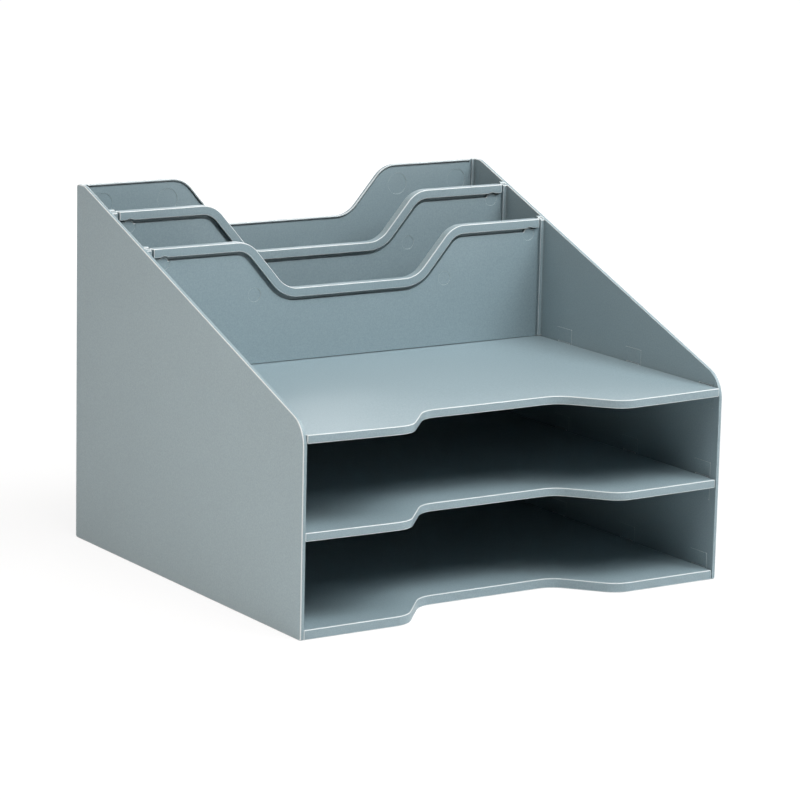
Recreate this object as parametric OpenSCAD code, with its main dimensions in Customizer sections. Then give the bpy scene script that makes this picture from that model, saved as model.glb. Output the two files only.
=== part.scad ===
// Desk organiser in moulded plastic: two letter trays under a sloped stand with two upright file pockets.
// Eight mouldings push together: two side panels, three shelves, a back panel and two lift-out dividers.
// Millimetres, +Z up, front at -Y. Origin: middle of the footprint, on the desk.

/* [Overall] */
// Width over the two side panels
overall_w = 318; // [290:1:360]
// Depth of the side panels, front edge to back edge
overall_d = 296; // [284:1:340]
// Height of the side panels at the back
overall_h = 241.6; // [230:0.1:280]

/* [Side panels] */
// Thickness of a side panel
side_t = 2.5; // [2.2:0.1:3.5]
// Height of the side panel's front edge above the top shelf, before its corner is rounded
front_guard = 5.5; // [3:0.1:12]
// Level stretch at the top of the side panel, behind the slope
top_land = 10.7; // [8:0.1:20]
// Rounding of the front corner, between the front edge and the slope
front_corner_r = 19; // [8:0.5:24]
// Rounding where the slope meets the level stretch
land_corner_r = 9; // [4:0.5:14]
// Rounding of the two back corners and the bottom front corner
small_corner_r = 2; // [1:0.5:4]

/* [Rails on the side panels] */
// How far the divider rails stand in from the side panel
rail_reach = 3.4; // [3:0.1:6]
// Thickness of one rib of a divider's rail
rail_t = 2.1; // [1.4:0.1:2.4]
// How far the back panel's rails stand in from the side panel
back_rail_reach = 2.4; // [2.2:0.1:6]
// Thickness of one rib of the back panel's rail
back_rail_t = 1.2; // [1:0.1:2]

/* [Shelves] */
// Height of the bottom shelf's top face above the desk
bottom_shelf_z = 6.5; // [6:0.1:12]
// Clearance of the bottom shelf's turned-down edge above the desk
desk_gap = 0.1; // [0.1:0.1:1]
// Height from one shelf's top face to the next
tray_pitch = 61; // [45:0.5:66]
// Thickness of a shelf's plate
shelf_t = 2.2; // [1.8:0.1:3]
// Height of the turned-down edge of the upper two shelves, plate included
lip_h = 5.5; // [5:0.1:8]
// Thickness of the turned-down edge
lip_t = 1.8; // [1.2:0.1:2.4]
// Height of the ribs under a shelf, plate included
rib_h = 4.5; // [3:0.1:4.9]
// Distance of the lower two shelves' front lips behind the side panels' front edge
lip_setback = 0.5; // [0:0.1:2]
// Thickness of the ribs under a shelf
rib_t = 1.5; // [1:0.1:2]
// Spacing of the three ribs that run front to back
rib_spacing = 100; // [92:1:120]
// Number of ribs that run across
cross_ribs = 2; // [0:1:4]

/* [Shelf fixing] */
// Number of tongues at each end of a shelf
tongue_count = 4; // [2:1:5]
// Middle of the first tongue behind the side panels' front edge
tongue_first = 15; // [12:0.5:25]
// Middle of the last tongue in front of the side panels' back edge
tongue_last = 41; // [25:0.5:60]
// Width of a tongue, front to back
tongue_w = 13; // [8:0.5:18]
// Length of a tongue inside its socket
tongue_bite = 1.2; // [0.8:0.1:1.4]
// Width of the shallow relief round a socket, front to back
relief_w = 17; // [15:0.5:24]
// Height of the relief above the shelf's top face
relief_up = 10; // [4:0.5:16]
// Height of the relief below the shelf's top face
relief_down = 15; // [10:0.5:20]
// Depth of the relief
relief_depth = 0.3; // [0.2:0.1:0.5]

/* [Finger cut-out] */
// Half width of the cut-out at its mouth, where the two lines of its corner would meet
cut_mouth = 80; // [70:0.1:90]
// Depth of the cut-out
cut_depth = 33.5; // [24:0.5:38]
// Slope of its sides away from the edge
cut_angle = 49.2; // [40:0.1:60]
// Rounding of its four corners
cut_r = 20; // [14:0.5:22]

/* [Dividers] */
// Thickness of a divider's sheet
divider_t = 2; // [1.8:0.1:2.6]
// Thickness of its two upright edges, which run in the rails
slide_t = 1.3; // [1:0.1:1.6]
// Front divider to middle divider, front face to front face
front_pocket = 47; // [30:0.1:60]
// Middle divider to back panel, front face to front face
rear_pocket = 41.6; // [25:0.1:50]
// How far a divider's rim stands forward of its sheet
rim_reach = 2; // [1.9:0.1:5]
// Depth of the rim's top, front to back
rim_depth = 6.5; // [6:0.1:9]
// Height of the rim's front wall
rim_h = 6; // [4:0.1:8]
// Thickness of the rim's front wall and top
rim_t = 1.7; // [1.2:0.1:1.8]
// Thickness of the rim's rear wall
rim_back_t = 2; // [1.2:0.1:2.2]
// Open height between the rim's front wall and the floor of the rim's hollow
hollow_gap = 2.7; // [1:0.1:4]
// The same height beyond the pin marks, where the hollow is shallower
end_gap = 1; // [0.5:0.1:1.6]
// Thickness of the hollow's floor
hollow_floor = 1.8; // [1.2:0.1:2.2]
// Space between the end of a rim and the rail beside it
rim_end_gap = 1.5; // [1:0.1:4]
// Rise of a divider's top above the side panels' slope at the front of its rim
rim_rise = 0.9; // [0:0.1:2]

/* [Back panel] */
// Thickness of the back panel's sheet
back_t = 1.8; // [1.6:0.1:2.6]
// How far the bead along its top stands forward of its sheet
bead_reach = 1; // [0.6:0.1:2.5]
// Height of that bead
bead_h = 1.2; // [0.8:0.1:3]
// Height of the groove under the bead
groove_h = 0.8; // [0.4:0.1:1.2]
// Depth of that groove
groove_depth = 0.9; // [0.4:0.1:1]
// Space between the end of the bead and the rail beside it
bead_end_gap = 1; // [1:0.1:4]
// Top of the back panel below the side panels' top edge
back_drop = 0.2; // [0.1:0.1:2]

/* [Ejector pin marks] */
// Diameter of the pin marks on a divider
pin_d = 9.4; // [6:0.2:12]
// How far the mark under each end of a divider's rim cuts up into the rim's lower edge
pin_bite = 0.8; // [0.4:0.1:1.6]
// Middle of that mark inward of the rim's end
pin_inset = 7.9; // [6.4:0.1:12]
// Diameter of the pad inside that mark, which fills the rim's hollow
pad_d = 7.8; // [4:0.2:9]
// Middle of the marks below the finger cut-out, each side of the middle
low_pin_x = 75; // [40:1:110]
// Middle of those marks below the rim's top
low_pin_drop = 36; // [34:1:60]
// Diameter of the pin marks on the back panel
back_pin_d = 15; // [8:0.5:16]
// Middle of the inner marks on the back panel, each side of the middle
back_pin_x = 92; // [91:1:110]
// Middle of the outer marks on the back panel inward of its end
back_pin_inset = 14.7; // [10:0.1:20]
// Middle of the back panel's marks below its top
back_pin_drop = 14; // [11:0.5:24]
// Depth of a pin mark
pin_depth = 0.2; // [0.1:0.1:0.4]

/* [Fits] */
// Clearance of a sheet in its rail, each side
slide_gap = 0.3; // [0.2:0.05:0.5]
// Clearance between pieces that stand against each other
seat_gap = 0.3; // [0.2:0.05:0.5]
// Clearance of a tongue in its socket
tongue_gap = 0.2; // [0.1:0.05:0.3]

/* [Hidden] */
$fn = 96;
// Overlap that joins or cuts solids cleanly
over = 1;
inner_x = overall_w / 2 - side_t;
front_y = -overall_d / 2;
shelf_zs = [for (i = [0:2]) bottom_shelf_z + i * tray_pitch];
top_shelf_z = shelf_zs[2];
front_h = top_shelf_z + front_guard;
slope_run = overall_d - top_land;
slope_rise = (overall_h - front_h) / slope_run;

// Distances behind the side panels' front edge
back_face = overall_d - back_rail_t - slide_gap - back_t;
middle_face = back_face - rear_pocket;
front_face = middle_face - front_pocket;
shelf_back = back_face - seat_gap;
tongue_step = (overall_d - tongue_first - tongue_last) / (tongue_count - 1);
tongue_places = [for (i = [0:tongue_count - 1]) tongue_first + i * tongue_step];

bottom_lip_h = bottom_shelf_z - desk_gap;
shelf_half = inner_x - seat_gap;
sheet_half = inner_x - seat_gap;
slide_step = divider_t - slide_t;
rim_half = inner_x - rail_reach - rim_end_gap;
bead_half = inner_x - back_rail_reach - bead_end_gap;
hollow_h = rim_h + hollow_gap;
socket_depth = tongue_bite + tongue_gap;

divider_color = "#8ea3aa";
shelf_color = "#a9bbbf";
side_color = "#949fa1";
back_color = "#7f9195";

// Height of the side panels' sloped edge at a distance behind their front edge
function slope_z(d) = front_h + slope_rise * d;

// Tip of the corner at p, between its sides towards a and b, that lies outside an arc of radius r
module corner_tip(p, a, b, r) {
    u = (a - p) / norm(a - p);
    v = (b - p) / norm(b - p);
    half = acos(u * v) / 2;
    reach = r / tan(half);
    difference() {
        polygon([p, p + u * reach, p + v * reach]);
        translate(p + (u + v) / norm(u + v) * r / sin(half)) circle(r = r);
    }
}

// Convex outline with each corner rounded to its own radius
module rounded_outline(points, radii) {
    n = len(points);
    difference() {
        polygon(points);
        for (i = [0:n - 1])
            corner_tip(points[i], points[(i + n - 1) % n], points[(i + 1) % n], radii[i]);
    }
}

// Finger cut-out into an edge that lies on y = 0, with the sheet on the +Y side.
// grow moves the whole edge line into the sheet, which gives the inside of a lip that follows it.
module finger_cut(grow = 0) {
    side_shift = grow * tan(cut_angle / 2);
    mouth = cut_mouth + side_shift;
    floor_half = mouth - cut_depth / tan(cut_angle);
    flare_r = cut_r - grow;
    flare = flare_r * tan(cut_angle / 2);
    translate([0, grow]) {
        difference() {
            polygon([[-mouth, 0], [-floor_half, cut_depth], [floor_half, cut_depth], [mouth, 0]]);
            for (s = [-1, 1])
                corner_tip([s * floor_half, cut_depth], [0, cut_depth], [s * mouth, 0], cut_r + grow);
        }
        for (s = [-1, 1])
            corner_tip([s * mouth, 0], [s * (mouth + flare), 0], [s * floor_half, cut_depth], flare_r);
        translate([-mouth - flare, -grow - over]) square([2 * (mouth + flare), grow + over]);
    }
}

// Side panel's outline, drawn as distance behind the front edge and height
module side_outline() {
    rounded_outline(
        [[0, 0], [0, front_h], [slope_run, overall_h], [overall_d, overall_h], [overall_d, 0]],
        [small_corner_r, front_corner_r, land_corner_r, small_corner_r, small_corner_r]);
}

// Extrudes an outline of depth and height along X, from x = 0
module along_x(length) {
    translate([0, front_y, 0]) rotate([90, 0, 90]) linear_extrude(length) children();
}

// Extrudes an outline of width and height backwards from a distance behind the front edge
module backwards(distance, thickness) {
    translate([0, front_y + distance + thickness, 0]) rotate([90, 0, 0])
        linear_extrude(thickness) children();
}

// One rib of a rail, from a height up past the slope, on a panel whose inner face is at x = side_t
module rib(distance, thickness, reach, foot) {
    translate([side_t - over, front_y + distance, foot])
        cube([over + reach, thickness, overall_h - foot]);
}

// Pair of ribs that hold a sheet whose front face is at a distance behind the front edge
module rail(face, sheet_t, thickness, reach, foot) {
    rib(face - slide_gap - thickness, thickness, reach, foot);
    rib(face + sheet_t + slide_gap, thickness, reach, foot);
}

// Relief and blind socket for each tongue of the shelf whose top face is at height z
module shelf_sockets(z) {
    relief_low = max(z - relief_down, small_corner_r);
    for (d = tongue_places) {
        translate([side_t - relief_depth, front_y + d - relief_w / 2, relief_low])
            cube([relief_depth + over, relief_w, z + relief_up - relief_low]);
        translate([side_t - socket_depth, front_y + d - tongue_w / 2 - tongue_gap, z - shelf_t - tongue_gap])
            cube([socket_depth + over, tongue_w + 2 * tongue_gap, shelf_t + 2 * tongue_gap]);
    }
}

// Side panel with its outer face at x = 0 and its rails towards +X
module side_panel() {
    color(side_color) {
        difference() {
            along_x(side_t) side_outline();
            for (z = shelf_zs) shelf_sockets(z);
        }
        intersection() {
            along_x(side_t + max(rail_reach, back_rail_reach)) side_outline();
            union() {
                for (face = [front_face, middle_face])
                    rail(face + slide_step, slide_t, rail_t, rail_reach, top_shelf_z + seat_gap);
                rail(back_face, back_t, back_rail_t, back_rail_reach, 0);
            }
        }
    }
}

module left_side_panel() {
    translate([-overall_w / 2, 0, 0]) side_panel();
}

module right_side_panel() {
    mirror([1, 0, 0]) left_side_panel();
}

// Outline of a shelf whose front lip stands back by setback, drawn in by an amount all round
module shelf_outline(setback, inset = 0) {
    corner = back_rail_reach + seat_gap + inset;
    difference() {
        translate([-shelf_half + inset, front_y + setback + inset])
            square([2 * (shelf_half - inset), shelf_back - setback - 2 * inset]);
        translate([0, front_y + setback]) finger_cut(inset);
        for (s = [-1, 1])
            translate([s * inner_x, front_y + shelf_back]) square(2 * corner, center = true);
    }
}

// Shelf with its top face at height z, a turned-down edge all round, ribs underneath and tongues at both ends
module shelf(z, setback, edge_h) {
    color(shelf_color) translate([0, 0, z]) {
        difference() {
            translate([0, 0, -edge_h]) linear_extrude(edge_h) shelf_outline(setback);
            translate([0, 0, -edge_h - over]) linear_extrude(edge_h + over - shelf_t)
                shelf_outline(setback, lip_t);
        }
        for (i = [-1:1]) long_rib(i * rib_spacing, setback + (i == 0 ? cut_depth : 0));
        for (i = [1:1:cross_ribs]) cross_rib(i * shelf_back / (cross_ribs + 1));
        for (s = [-1, 1], d = tongue_places)
            translate([s * (shelf_half + (seat_gap + tongue_bite - over) / 2), front_y + d, -shelf_t / 2])
                cube([seat_gap + tongue_bite + over, tongue_w, shelf_t], center = true);
    }
}

// Rib under a shelf from the front lip, which the cut-out sets back at the middle, to the rear edge
module long_rib(x, lip_place) {
    start = lip_place + lip_t / 2;
    translate([x - rib_t / 2, front_y + start, -rib_h])
        cube([rib_t, shelf_back - lip_t / 2 - start, rib_h - shelf_t / 2]);
}

// Rib under a shelf from side to side
module cross_rib(distance) {
    translate([-shelf_half + lip_t / 2, front_y + distance - rib_t / 2, -rib_h])
        cube([2 * shelf_half - lip_t, rib_t, rib_h - shelf_t / 2]);
}

module bottom_shelf() {
    shelf(shelf_zs[0], lip_setback, bottom_lip_h);
}

module middle_shelf() {
    shelf(shelf_zs[1], lip_setback, lip_h);
}

module top_shelf() {
    shelf(shelf_zs[2], 0, lip_h);
}

// Part of an upright sheet that lies more than band below its top edge at height top, cut-out included
module below_edge(top, band) {
    translate([0, top]) mirror([0, 1]) difference() {
        translate([-sheet_half - over, band]) square([2 * (sheet_half + over), top]);
        finger_cut(band);
    }
}

// Upright sheet from foot to top with the finger cut-out in its top edge
module sheet_outline(foot, top) {
    difference() {
        translate([-sheet_half, foot]) square([2 * sheet_half, top - foot]);
        translate([0, top]) mirror([0, 1]) finger_cut();
    }
}

// Everything beyond the two ends of a rim
module beyond_rim(rim_end) {
    for (s = [-1, 1])
        translate([s * (rim_end + overall_w / 2), overall_h / 2])
            square([overall_w, 2 * overall_h], center = true);
}

// Places its child at the pin mark under each end of the rim of a divider whose top edge is at height top
module rim_pins(top) {
    for (s = [-1, 1])
        translate([s * (rim_half - pin_inset), top - rim_h + pin_bite - pin_d / 2]) children();
}

// Hollow of the rim, open downwards behind the front wall. A pad fills it at each of the two pin marks, and
// it is shallower from there to the rim's end.
module rim_hollow(top) {
    difference() {
        below_edge(top, rim_t);
        below_edge(top, hollow_h);
        intersection() {
            below_edge(top, rim_h + end_gap);
            beyond_rim(rim_half - pin_inset);
        }
        beyond_rim(rim_half - rim_t);
        rim_pins(top) circle(d = pad_d);
    }
}

// Divider whose sheet has its front face at a distance behind the front edge. Its top edge is a hollow rim,
// and the sheet is thinner where its two upright edges run in the rails.
module divider(face) {
    rim_front = face - rim_reach;
    top = slope_z(rim_front) + rim_rise;
    color(divider_color) difference() {
        backwards(rim_front, rim_depth) sheet_outline(top_shelf_z + seat_gap, top);
        backwards(rim_front - over, over + rim_reach) below_edge(top, rim_h);
        backwards(rim_front + rim_t, rim_depth - rim_back_t - rim_t) rim_hollow(top);
        backwards(rim_front - over, over + rim_reach + slide_step) beyond_rim(rim_half);
        backwards(face + divider_t, rim_depth) {
            below_edge(top, hollow_h + hollow_floor);
            beyond_rim(rim_half);
        }
        backwards(rim_front - over, over + rim_reach + pin_depth) {
            rim_pins(top) circle(d = pin_d);
            for (s = [-1, 1]) translate([s * low_pin_x, top - low_pin_drop]) circle(d = pin_d);
        }
    }
}

module front_divider() {
    divider(front_face);
}

module middle_divider() {
    divider(middle_face);
}

module back_panel() {
    top = overall_h - back_drop;
    bead_front = back_face - bead_reach;
    color(back_color) difference() {
        backwards(bead_front, bead_reach + back_t) sheet_outline(seat_gap, top);
        difference() {
            backwards(bead_front - over, over + bead_reach + groove_depth) {
                below_edge(top, bead_h);
                beyond_rim(bead_half);
            }
            backwards(back_face, back_t) {
                below_edge(top, bead_h + groove_h);
                beyond_rim(bead_half - groove_h);
            }
        }
        for (s = [-1, 1], x = [back_pin_x, sheet_half - back_pin_inset])
            backwards(back_face - over, over + pin_depth)
                translate([s * x, top - back_pin_drop]) circle(d = back_pin_d);
    }
}

left_side_panel();
right_side_panel();
bottom_shelf();
middle_shelf();
top_shelf();
back_panel();
middle_divider();
front_divider();
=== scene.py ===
import math
from collections import Counter

import bmesh
import bpy
from mathutils import Matrix, Vector
from mathutils.geometry import delaunay_2d_cdt
from mathutils.kdtree import KDTree


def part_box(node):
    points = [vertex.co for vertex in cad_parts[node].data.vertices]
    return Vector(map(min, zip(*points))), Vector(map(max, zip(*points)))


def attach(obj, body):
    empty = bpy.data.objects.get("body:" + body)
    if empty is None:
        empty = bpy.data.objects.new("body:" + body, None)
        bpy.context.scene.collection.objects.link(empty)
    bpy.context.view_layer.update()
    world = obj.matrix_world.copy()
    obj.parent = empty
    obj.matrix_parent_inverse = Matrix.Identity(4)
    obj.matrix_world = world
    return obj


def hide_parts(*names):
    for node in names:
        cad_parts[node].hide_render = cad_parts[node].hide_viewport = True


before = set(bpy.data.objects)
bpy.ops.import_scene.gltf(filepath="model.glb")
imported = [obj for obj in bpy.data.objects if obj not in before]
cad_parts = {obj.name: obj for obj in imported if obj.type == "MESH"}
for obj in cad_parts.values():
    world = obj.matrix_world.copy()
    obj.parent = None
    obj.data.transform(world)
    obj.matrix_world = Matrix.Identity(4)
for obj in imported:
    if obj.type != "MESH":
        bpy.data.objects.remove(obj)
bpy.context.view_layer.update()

# Camera: it stands to the left of the organiser and a little above it, where the photograph was taken.
# Its place and aim were worked out from the straight edges of the panels, shelves and dividers.
CAMERA_PLACE = (-1.22278, -1.90101, 0.57971)
CAMERA_RIGHT = (0.842304, -0.538557, 0.021923)
CAMERA_UP = (0.092051, 0.183805, 0.978643)
SENSOR_MM = 36
LENS_MM = 156.95
NEAREST_SEEN = 0.1
FARTHEST_SEEN = 50


def placed(name, data):
    """New object in the scene."""
    thing = bpy.data.objects.new(name, data)
    bpy.context.scene.collection.objects.link(thing)
    return thing


camera_data = bpy.data.cameras.new("camera")
camera_data.sensor_width = SENSOR_MM
camera_data.lens = LENS_MM
camera_data.clip_start = NEAREST_SEEN
camera_data.clip_end = FARTHEST_SEEN
camera = placed("camera", camera_data)
right = Vector(CAMERA_RIGHT).normalized()
up = Vector(CAMERA_UP).normalized()
turn = Matrix((right, up, right.cross(up))).transposed()
camera.matrix_world = Matrix.Translation(CAMERA_PLACE) @ turn.to_4x4()
bpy.context.scene.camera = camera


# Side panels: two mirror-image mouldings of grey polystyrene, one to each side, with the rails for the
# dividers and the back panel and the sockets for the shelves on their inner faces. They are injection
# moulded, and their edges keep the small round that the tool gives them, which catches the light.
PLASTIC = "#90a2a8"
PLASTIC_MOTTLE = "#899ba1"
PLASTIC_SPECK = "#778990"
PLASTIC_ROUGHNESS = (0.42, 0.5)
# The rounds' colours below are paler than the plastic: a painted highlight along every rounded edge.
PAINTED_EDGE_HIGHLIGHT = "#d3d8d8"
PAINTED_EDGE_HIGHLIGHT_MOTTLE = "#c9cfd0"
PAINTED_EDGE_HIGHLIGHT_SPECK = "#c6cccd"
EDGE_ROUGHNESS = (0.32, 0.4)
POLYSTYRENE_IOR = 1.59
MOTTLE_SPACING = 0.06
MOTTLE_DETAIL = 3
GRAIN_SPACING = 0.0009
GRAIN_DETAIL = 1
GRAIN_DEPTH = 0.00013
GRAIN_STRENGTH = 0.3
EDGE_ROUND = 0.0005
ROUND_STEPS = 2
# A round takes at most ROOM_SHARE of the flat face beside it. Where it folds over, within FAULT_REACH of the
# fold, it is made NARROWER, and left out once it is under NARROWEST of the full round.
ROOM_SHARE = 0.4
ROUND_TRIES = 7
NARROWER = 0.5
NARROWEST = 0.1
FAULT_REACH = 0.0008
MEASURED_AT = (0.04, 0.5, 0.96)
RAIL_REACH = 0.1560
RAIL_SHARE = 0.4
CAD_PAD_FACE = 0.1568
PAD_FACE = 0.1563
# Below these lengths two places count as one, and below FLAT two faces count as one plane.
SAME_PLANE = 1e-5
SAME_PLACE = 2e-6
SAME_CORNER = 1e-7
LEAST_REACH = 1e-6
LEAST_SPREAD = 1e-9
FLAT = math.radians(0.6)
SHARP = math.radians(25)
GENTLE = (math.radians(0.5), math.radians(40))
FOLDED = math.radians(100)


def linear(colour):
    """sRGB hex colour to linear RGBA."""
    parts = [int(colour[i:i + 2], 16) / 255 for i in (1, 3, 5)]
    return [p / 12.92 if p <= 0.04045 else ((p + 0.055) / 1.055) ** 2.4 for p in parts] + [1]


def add_node(tree, kind, settings, links):
    """Adds a node. Settings are input values by name or number or properties, links are sockets by input."""
    node = tree.nodes.new(kind)
    for key, value in settings.items():
        if isinstance(key, int) or key in node.inputs:
            node.inputs[key].default_value = value
        else:
            setattr(node, key, value)
    for key, source in links.items():
        tree.links.new(source, node.inputs[key])
    return node


def moulded_polystyrene(name, plain, deep, speck, roughness):
    """Injection-moulded polystyrene: a faint flow mottle in its colour and the fine matt grain of the tool.

    The tool's faces are spark-eroded, which makes the surface matt. The grain is finer on the real one, and
    is drawn as coarse as it has to be to show. The rounds along the edges take a paler, smoother copy with
    fainter grain: a painted highlight, so that they read as thin light lines."""
    material = bpy.data.materials.new(name)
    material.use_nodes = True
    tree = material.node_tree
    tree.nodes.clear()
    place = add_node(tree, "ShaderNodeTexCoord", {}, {}).outputs["Object"]
    mottle = add_node(tree, "ShaderNodeTexNoise", {"Scale": 1 / MOTTLE_SPACING, "Detail": MOTTLE_DETAIL},
                      {"Vector": place}).outputs["Fac"]
    grain = add_node(tree, "ShaderNodeTexNoise", {"Scale": 1 / GRAIN_SPACING, "Detail": GRAIN_DETAIL},
                     {"Vector": place}).outputs["Fac"]
    mottled = add_node(tree, "ShaderNodeMix", {"data_type": "RGBA", 6: linear(plain), 7: linear(deep)},
                       {0: mottle}).outputs[2]
    specked = add_node(tree, "ShaderNodeMix", {"data_type": "RGBA", 7: linear(speck)},
                       {0: grain, 6: mottled}).outputs[2]
    bump = add_node(tree, "ShaderNodeBump", {"Strength": GRAIN_STRENGTH, "Distance": GRAIN_DEPTH},
                    {"Height": grain}).outputs["Normal"]
    smooth, rough = roughness
    gloss = add_node(tree, "ShaderNodeMapRange", {"To Min": smooth, "To Max": rough},
                     {"Value": grain}).outputs["Result"]
    surface = add_node(tree, "ShaderNodeBsdfPrincipled", {"IOR": POLYSTYRENE_IOR},
                       {"Base Color": specked, "Roughness": gloss, "Normal": bump}).outputs["BSDF"]
    add_node(tree, "ShaderNodeOutputMaterial", {}, {"Surface": surface})
    return material


def sound_triangles(data):
    """Corners and triangles of a CAD mesh, put so that the triangles beside each edge share all of it.

    Corners nearer than 2 µm are one, a side is split at the corners that lie on it, and a triangle of no
    width is left out. A triangle is a list of its sides with its normal, twice its area long."""
    tree = KDTree(len(data.vertices))
    for i, vertex in enumerate(data.vertices):
        tree.insert(vertex.co, i)
    tree.balance()
    first = [min(i for _, i, _ in tree.find_range(v.co, SAME_PLACE)) for v in data.vertices]
    place = {i: data.vertices[i].co.copy() for i in sorted(set(first))}
    lines = {}

    def line(a, b):
        if (a, b) not in lines:
            way = place[b] - place[a]
            length = way.length
            way.normalize()
            between = []
            for i, co in place.items():
                along = (co - place[a]).dot(way)
                if SAME_PLACE < along < length - SAME_PLACE:
                    if (co - place[a] - way * along).length < SAME_PLACE:
                        between.append((along, i))
            lines[a, b] = [a] + [i for _, i in sorted(between)] + [b]
            lines[b, a] = lines[a, b][::-1]
        return list(zip(lines[a, b], lines[a, b][1:]))

    triangles = []
    data.calc_loop_triangles()
    for triangle in data.loop_triangles:
        a, b, c = (first[i] for i in triangle.vertices)
        longest = max((place[p] - place[q]).length for p, q in ((a, b), (b, c), (c, a)))
        facing = (place[b] - place[a]).cross(place[c] - place[a])
        if len({a, b, c}) == 3 and facing.length > SAME_PLACE * longest:
            triangles.append((line(a, b) + line(b, c) + line(c, a), facing))
    return place, triangles


def flat_outlines(triangles):
    """For each flat face of the solid, its normal and the sides of its outline, which run round it."""
    beside = {}
    for number, (sides, _) in enumerate(triangles):
        for side in sides:
            beside.setdefault(frozenset(side), []).append(number)
    seen = set()
    for start, (_, facing) in enumerate(triangles):
        if start in seen:
            continue
        seen.add(start)
        group = [start]
        for number in group:
            for side in triangles[number][0]:
                for other in beside[frozenset(side)]:
                    turned = abs(triangles[other][1].normalized().dot(facing.normalized()))
                    if other not in seen and turned > math.cos(FLAT):
                        seen.add(other)
                        group.append(other)
        outline = Counter()
        for number in group:
            for a, b in triangles[number][0]:
                if outline[b, a] > 0:
                    outline[b, a] -= 1
                else:
                    outline[a, b] += 1
        yield sum((triangles[number][1] for number in group), Vector()), set(+outline)


def filled(outline, place, facing):
    """Triangles that fill the outline of a flat face."""
    across = facing.orthogonal().normalized()
    up = facing.normalized().cross(across)
    ends = sorted({i for side in outline for i in side})
    number = {i: n for n, i in enumerate(ends)}
    flat = [(place[i].dot(across), place[i].dot(up)) for i in ends]
    made = delaunay_2d_cdt(flat, [(number[a], number[b]) for a, b in outline], [], 0, SAME_CORNER)
    triangles = [tuple(ends[made[3][n][0]] for n in corners) for corners in made[2]]
    at = {(t[k - 1], t[k]): t for t in triangles for k in range(3)}
    inside = [at[side] for side in sorted(outline)]
    for triangle in inside:
        for k in range(3):
            back = (triangle[k], triangle[k - 1])
            if back in at and back not in outline and back[::-1] not in outline and at[back] not in inside:
                inside.append(at[back])
    return sorted(set(inside))


def flat_faced_copy(node):
    """Closed mesh of a CAD node with whole flat faces, cut only where a hole in one has to be reached."""
    place, triangles = sound_triangles(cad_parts[node].data)
    mesh = bmesh.new()
    corner = {i: mesh.verts.new(co) for i, co in place.items()}
    mesh.edges.layers.float.new("bevel_weight_edge")
    for facing, outline in flat_outlines(triangles):
        for triangle in filled(outline, place, facing):
            mesh.faces.new([corner[i] for i in triangle])
    bmesh.ops.delete(mesh, geom=[v for v in mesh.verts if not v.link_faces], context="VERTS")
    mesh.normal_update()

    def slant(edge):
        way = edge.verts[1].co - edge.verts[0].co
        beside = [e for v in edge.verts for e in v.link_edges if e.calc_face_angle() >= FLAT]
        sines = [math.sin(way.angle(e.verts[1].co - e.verts[0].co)) for e in beside]
        return round(min(sines, default=1), 3), -round(way.length, 5)

    for edge in sorted((e for e in mesh.edges if e.calc_face_angle() < FLAT), key=slant):
        one, other = edge.link_faces
        if len(set(one.verts) & set(other.verts)) == 2:
            bmesh.utils.face_join((one, other))
    return mesh


def room_beside(edge, face, rim):
    """Distance across a flat face from an edge of its rim to the nearest edge of the rim beyond it."""
    a, b = (v.co for v in edge.verts)
    along = (b - a).normalized()
    inward = face.normal.cross(along)
    if inward.dot(face.calc_center_median() - a) < 0:
        inward.negate()
    nearest = math.inf
    for share in MEASURED_AT:
        start = a.lerp(b, share)
        for other in rim:
            if set(other.verts) & set(edge.verts):
                continue
            c = other.verts[0].co - start
            d = other.verts[1].co - start
            side_c, side_d = c.dot(along), d.dot(along)
            if side_c * side_d > 0 or abs(side_c - side_d) < LEAST_SPREAD:
                continue
            reach = c.lerp(d, side_c / (side_c - side_d)).dot(inward)
            if reach > LEAST_REACH:
                nearest = min(nearest, reach)
    return nearest


def edge_widths(mesh, own_share):
    """How wide the round may be on each outer edge, as a share of the full round."""
    widths = {}
    for start in mesh.faces:
        group = [start]
        for face in group:
            for edge in face.edges:
                if edge.calc_face_angle() < FLAT:
                    group += [f for f in edge.link_faces if f not in group]
        rim = [e for f in group for e in f.edges if e.calc_face_angle() >= FLAT]
        for edge in start.edges:
            if edge.is_convex and edge.calc_face_angle() > SHARP:
                share = ROOM_SHARE * room_beside(edge, start, rim) / EDGE_ROUND
                widths[edge] = min(widths.get(edge, 1), share)
    return {edge: own_share(edge, share) for edge, share in widths.items()}


def even_out(widths):
    """Edges that run on into each other in a gentle curve share the smaller width."""
    waiting = list(widths)
    for edge in waiting:
        for vertex in edge.verts:
            for other in vertex.link_edges:
                if other is edge or widths.get(other, 0) <= widths[edge]:
                    continue
                way = vertex.co - edge.other_vert(vertex).co
                turn = way.angle(other.other_vert(vertex).co - vertex.co)
                if GENTLE[0] < turn < GENTLE[1]:
                    widths[other] = widths[edge]
                    waiting.append(other)


def faults(data):
    """Places where a mesh is open or folds back on itself."""
    mesh = bmesh.new()
    mesh.from_mesh(data)
    places = [(e.verts[0].co + e.verts[1].co) / 2 for e in mesh.edges
              if len(e.link_faces) != 2 or e.calc_face_angle() > FOLDED]
    mesh.free()
    return places


def made_plain(blank):
    """The mesh that an object's modifiers make, in place of the object."""
    result = bpy.data.meshes.new_from_object(blank.evaluated_get(bpy.context.evaluated_depsgraph_get()))
    bpy.data.objects.remove(blank)
    return result


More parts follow.
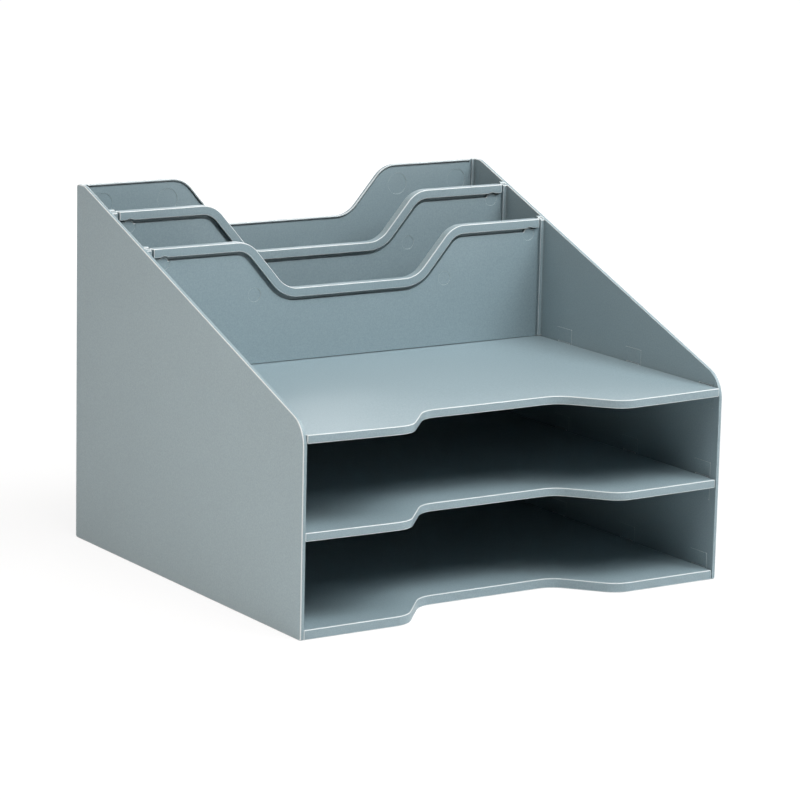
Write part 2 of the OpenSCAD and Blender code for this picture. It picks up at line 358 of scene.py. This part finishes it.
def rounded(mesh, name, own_share=lambda edge, share: share):
    """Plain mesh with the small round on its outer edges, narrower where a first try folds over.

    own_share lessens the share of the full round that an edge of this piece has."""
    weight = mesh.edges.layers.float["bevel_weight_edge"]
    widths = edge_widths(mesh, own_share)
    even_out(widths)
    for _ in range(ROUND_TRIES):
        for edge in mesh.edges:
            edge[weight] = widths.get(edge, 0)
            edge.smooth = edge[weight] > 0 or edge.calc_face_angle() <= SHARP
        for face in mesh.faces:
            face.smooth = True
        data = bpy.data.meshes.new(name)
        mesh.to_mesh(data)
        data.materials.append(polystyrene)
        data.materials.append(edge_highlight_polystyrene)
        blank = placed(name, data)
        bevel = blank.modifiers.new("edge round", "BEVEL")
        bevel.limit_method = "WEIGHT"
        bevel.width = EDGE_ROUND
        bevel.segments = ROUND_STEPS
        # The rounds take the painted-highlight material, a paler colour along each rounded edge.
        bevel.material = data.materials.find(edge_highlight_polystyrene.name)
        bevel.use_clamp_overlap = False
        bevel.loop_slide = False
        result = made_plain(blank)
        places = faults(result)
        if not places:
            break
        for edge in widths:
            a, b = (v.co for v in edge.verts)
            for co in places:
                share = min(max((co - a).dot(b - a) / (b - a).length_squared, 0), 1)
                if (a.lerp(b, share) - co).length < FAULT_REACH:
                    widths[edge] *= NARROWER if widths[edge] > NARROWEST else 0
                    break
        even_out(widths)
    mesh.free()
    return result


def moulding(data, node, body):
    """Piece that stands for a CAD node. The modifier keeps flat faces flat beside the rounds."""
    piece = placed(node + "_moulding", data)
    shading = piece.modifiers.new("flat faces", "WEIGHTED_NORMAL")
    shading.keep_sharp = True
    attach(piece, body)
    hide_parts(node)


def rail_share(edge, share):
    """The rails are thin, and their edges are rounded less than those of the panel."""
    inside = all(abs(v.co.x) < RAIL_REACH for v in edge.verts)
    return share * RAIL_SHARE if inside else share


polystyrene = moulded_polystyrene("injection_moulded_polystyrene", PLASTIC, PLASTIC_MOTTLE,
                                  PLASTIC_SPECK, PLASTIC_ROUGHNESS)
# The second material is the painted highlight on the rounded edges.
edge_highlight_polystyrene = moulded_polystyrene("polystyrene_edge_painted_highlight", PAINTED_EDGE_HIGHLIGHT, PAINTED_EDGE_HIGHLIGHT_MOTTLE,
                                       PAINTED_EDGE_HIGHLIGHT_SPECK, EDGE_ROUGHNESS)
# The pads round the shelves' sockets stand a little proud of the panel, so that their front edges show.
for node in ("left_side_panel", "right_side_panel"):
    panel = flat_faced_copy(node)
    for vertex in panel.verts:
        if abs(abs(vertex.co.x) - CAD_PAD_FACE) < SAME_PLANE:
            vertex.co.x = math.copysign(PAD_FACE, vertex.co.x)
    moulding(rounded(panel, node, rail_share), node, "stand")


# Shelves: three mouldings that snap between the side panels, each a plate with a turned-down edge and ribs
# underneath. The long plates hang a little between the panels, most at their free front edge.
SHELF_SAG = {"bottom_shelf": 0.0, "middle_shelf": 0.0010, "top_shelf": 0.0016}
SAG_STEP = 0.01


def hanging_tree():
    """Geometry nodes that let a plate hang between its ends, most at its front edge."""
    tree = bpy.data.node_groups.new("shelf_sag", "GeometryNodeTree")
    tree.interface.new_socket("Geometry", in_out="INPUT", socket_type="NodeSocketGeometry")
    for name in ("Sag", "Half width", "Front", "Depth"):
        tree.interface.new_socket(name, in_out="INPUT", socket_type="NodeSocketFloat")
    for name in ("Material", "Edge material"):
        tree.interface.new_socket(name, in_out="INPUT", socket_type="NodeSocketMaterial")
    tree.interface.new_socket("Geometry", in_out="OUTPUT", socket_type="NodeSocketGeometry")
    inputs = add_node(tree, "NodeGroupInput", {}, {}).outputs
    place = add_node(tree, "GeometryNodeInputPosition", {}, {})
    axes = add_node(tree, "ShaderNodeSeparateXYZ", {}, {0: place.outputs[0]}).outputs

    def work(kind, *terms):
        numbers = {i: term for i, term in enumerate(terms) if isinstance(term, int)}
        sockets = {i: term for i, term in enumerate(terms) if i not in numbers}
        return add_node(tree, "ShaderNodeMath", {"operation": kind, **numbers}, sockets).outputs[0]

    aside = work("DIVIDE", axes["X"], inputs["Half width"])
    span = work("MAXIMUM", work("SUBTRACT", 1, work("MULTIPLY", aside, aside)), 0)
    behind = work("DIVIDE", work("SUBTRACT", axes["Y"], inputs["Front"]), inputs["Depth"])
    fade = work("MAXIMUM", work("SUBTRACT", 1, behind), 0)
    drop = work("MULTIPLY", work("MULTIPLY", span, fade), work("MULTIPLY", fade, inputs["Sag"]))
    shift = add_node(tree, "ShaderNodeCombineXYZ", {}, {"Z": work("SUBTRACT", 0, drop)})
    moved = add_node(tree, "GeometryNodeSetPosition", {}, {"Geometry": inputs["Geometry"],
                                                           "Offset": shift.outputs[0]})
    real = add_node(tree, "GeometryNodeRealizeInstances", {}, {"Geometry": moved.outputs[0]})
    part = add_node(tree, "GeometryNodeInputMaterialIndex", {}, {}).outputs[0]
    faces = add_node(tree, "GeometryNodeSetMaterial", {},
                     {"Geometry": real.outputs[0], "Selection": work("SUBTRACT", 1, part),
                      "Material": inputs["Material"]})
    # The rounds keep the painted-highlight material.
    edges = add_node(tree, "GeometryNodeSetMaterial", {},
                     {"Geometry": faces.outputs[0], "Selection": part, "Material": inputs["Edge material"]})
    add_node(tree, "NodeGroupOutput", {}, {"Geometry": edges.outputs[0]})
    return tree


def hung(data, node):
    """The shelf's mesh after it hangs between the panels."""
    low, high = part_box(node)
    steps = int((high.x - low.x) / SAG_STEP)
    mesh = bmesh.new()
    mesh.from_mesh(data)
    for i in range(1, steps):
        cut = Vector((low.x + i * (high.x - low.x) / steps, 0, 0))
        bmesh.ops.bisect_plane(mesh, geom=mesh.verts[:] + mesh.edges[:] + mesh.faces[:], dist=SAME_CORNER,
                               plane_co=cut, plane_no=(1, 0, 0))
    mesh.to_mesh(data)
    mesh.free()
    flat = placed(node + "_flat", data)
    hang = flat.modifiers.new("hang", "NODES")
    hang.node_group = sag_tree
    sizes = {"Sag": SHELF_SAG[node], "Half width": high.x, "Front": low.y, "Depth": high.y - low.y,
             "Material": polystyrene, "Edge material": edge_highlight_polystyrene}
    for item in sag_tree.interface.items_tree:
        if item.in_out == "INPUT" and item.name in sizes:
            hang[item.identifier] = sizes[item.name]
    return made_plain(flat)


sag_tree = hanging_tree()
for node in SHELF_SAG:
    moulding(hung(rounded(flat_faced_copy(node), node), node), node, "stand")


# Back panel: one flat moulding that slides down the rearmost rails and closes the whole back. A thin bead
# runs along its top edge and follows the finger cut-out. The groove under the bead keeps a crisp edge.
FRONT_FACE = {"back_panel": 0.1447, "middle_divider": 0.1031, "front_divider": 0.0561}
CRISP_REACH = 0.00003
CRISP_SHARE = 0.5


def crisp_share(edge, share):
    """Deep edges in the front face of an upright sheet stay crisp: the tool's core leaves them sharp."""
    in_face = any(all(abs(v.co.y - face) < CRISP_REACH for v in edge.verts) for face in FRONT_FACE.values())
    return 0 if in_face and share > CRISP_SHARE else share


moulding(rounded(flat_faced_copy("back_panel"), "back_panel", crisp_share), "back_panel", "stand")


# Dividers: two upright sheets that drop into the side panels' rails and lift out by hand. Their top edge is
# turned forward and down into a deep hollow rim, which stiffens the sheet along the finger cut-out.
for node in ("middle_divider", "front_divider"):
    moulding(rounded(flat_faced_copy(node), node, crisp_share), node, node)


# Studio: a pale seamless floor and soft lamps, most of them above and in front of the open trays, so that
# light falls steeply on the shelves and little of it gets far into the trays. The side lamps are a bit warm,
# and a small one close to the left side panel makes it lighter towards its front and foot.
LAMPS = {
    "front": {"at": (-0.2, -1.2, 1.9), "size": 1.2, "watts": 18.5, "colour": "#ffffff"},
    "near_top": {"at": (0.1, -0.4, 1.2), "size": 0.8, "watts": 6.0, "colour": "#ffffff"},
    "front_right": {"at": (0.9, -0.9, 1.5), "size": 1.0, "watts": 24.5, "colour": "#f6fcff"},
    "left": {"at": (-1.8, 0.2, 1.3), "size": 1.2, "watts": 11.2, "colour": "#fff1e8"},
    "left_back": {"at": (-1.5, 1.4, 1.0), "size": 1.2, "watts": 2.0, "colour": "#fff1e8"},
    "left_low": {"at": (-0.5, -0.12, 0.12), "size": 0.2, "watts": 0.45, "colour": "#fff1e8"},
    "right": {"at": (2.0, -0.4, 0.8), "size": 1.0, "watts": 10, "colour": "#ffe9dc"},
    "behind": {"at": (0.9, 1.9, 0.6), "size": 1.2, "watts": 10, "colour": "#ffffff"},
}
AIM = Vector((0, 0, 0.12))
WHITE = "#ffffff"
PAPER = "#f2f3f3"
SHADOW_PAPER = (0.16, 0.16, 0.16, 1)
ROOM_LEVEL = 0.02
BACKGROUND = 1.0
NEAR_GLOW = 0.86
FAR_GLOW = 1.01
GLOW_STARTS = 0.5
GLOW_ENDS = 1.2
HALF_FLOOR = 9.0


def seen_directly(tree):
    """1 for what the camera sees, straight or in a gloss, and 0 for what lights the organiser."""
    path = add_node(tree, "ShaderNodeLightPath", {}, {}).outputs
    return add_node(tree, "ShaderNodeMath", {"operation": "MAXIMUM"},
                    {0: path["Is Camera Ray"], 1: path["Is Glossy Ray"]}).outputs[0]


for name, lamp in LAMPS.items():
    light = bpy.data.lights.new(name, "AREA")
    light.energy = lamp["watts"]
    light.size = lamp["size"]
    light.color = linear(lamp["colour"])[:3]
    fitting = placed(name, light)
    fitting.location = lamp["at"]
    fitting.visible_camera = False
    fitting.rotation_euler = (AIM - fitting.location).to_track_quat("-Z", "Y").to_euler()

world = bpy.data.worlds.new("studio")
world.use_nodes = True
tree = world.node_tree
tree.nodes.clear()
room = add_node(tree, "ShaderNodeBackground", {"Color": linear(WHITE), "Strength": ROOM_LEVEL}, {})
white = add_node(tree, "ShaderNodeBackground", {"Color": linear(WHITE), "Strength": BACKGROUND}, {})
sky = add_node(tree, "ShaderNodeMixShader", {},
               {0: seen_directly(tree), 1: room.outputs[0], 2: white.outputs[0]})
add_node(tree, "ShaderNodeOutputWorld", {}, {"Surface": sky.outputs[0]})
bpy.context.scene.world = world

# The floor is matt paper. What the camera sees of it is white by itself, with a faint share of the lamps'
# light, so that the organiser's shadow stays on it.
paper = bpy.data.materials.new("matt_paper")
paper.use_nodes = True
tree = paper.node_tree
tree.nodes.clear()
matt = add_node(tree, "ShaderNodeBsdfDiffuse", {"Color": linear(PAPER)}, {})
faint = add_node(tree, "ShaderNodeBsdfDiffuse", {"Color": SHADOW_PAPER}, {})
place = add_node(tree, "ShaderNodeTexCoord", {}, {}).outputs["Object"]
away = add_node(tree, "ShaderNodeVectorMath", {"operation": "LENGTH"}, {0: place}).outputs["Value"]
level = add_node(tree, "ShaderNodeMapRange", {"From Min": GLOW_STARTS, "From Max": GLOW_ENDS,
                                              "To Min": NEAR_GLOW, "To Max": FAR_GLOW},
                 {"Value": away}).outputs["Result"]
glow = add_node(tree, "ShaderNodeEmission", {"Color": linear(WHITE)}, {"Strength": level})
lit = add_node(tree, "ShaderNodeAddShader", {}, {0: faint.outputs[0], 1: glow.outputs[0]})
sheet = add_node(tree, "ShaderNodeMixShader", {},
                 {0: seen_directly(tree), 1: matt.outputs[0], 2: lit.outputs[0]})
add_node(tree, "ShaderNodeOutputMaterial", {}, {"Surface": sheet.outputs[0]})

corners = [(x * HALF_FLOOR, y * HALF_FLOOR, 0) for x, y in ((-1, -1), (1, -1), (1, 1), (-1, 1))]
floor_mesh = bpy.data.meshes.new("floor")
floor_mesh.from_pydata(corners, [], [(0, 1, 2, 3)])
floor_mesh.materials.append(paper)
floor = placed("floor", floor_mesh)

bpy.context.scene.view_settings.view_transform = "Standard"
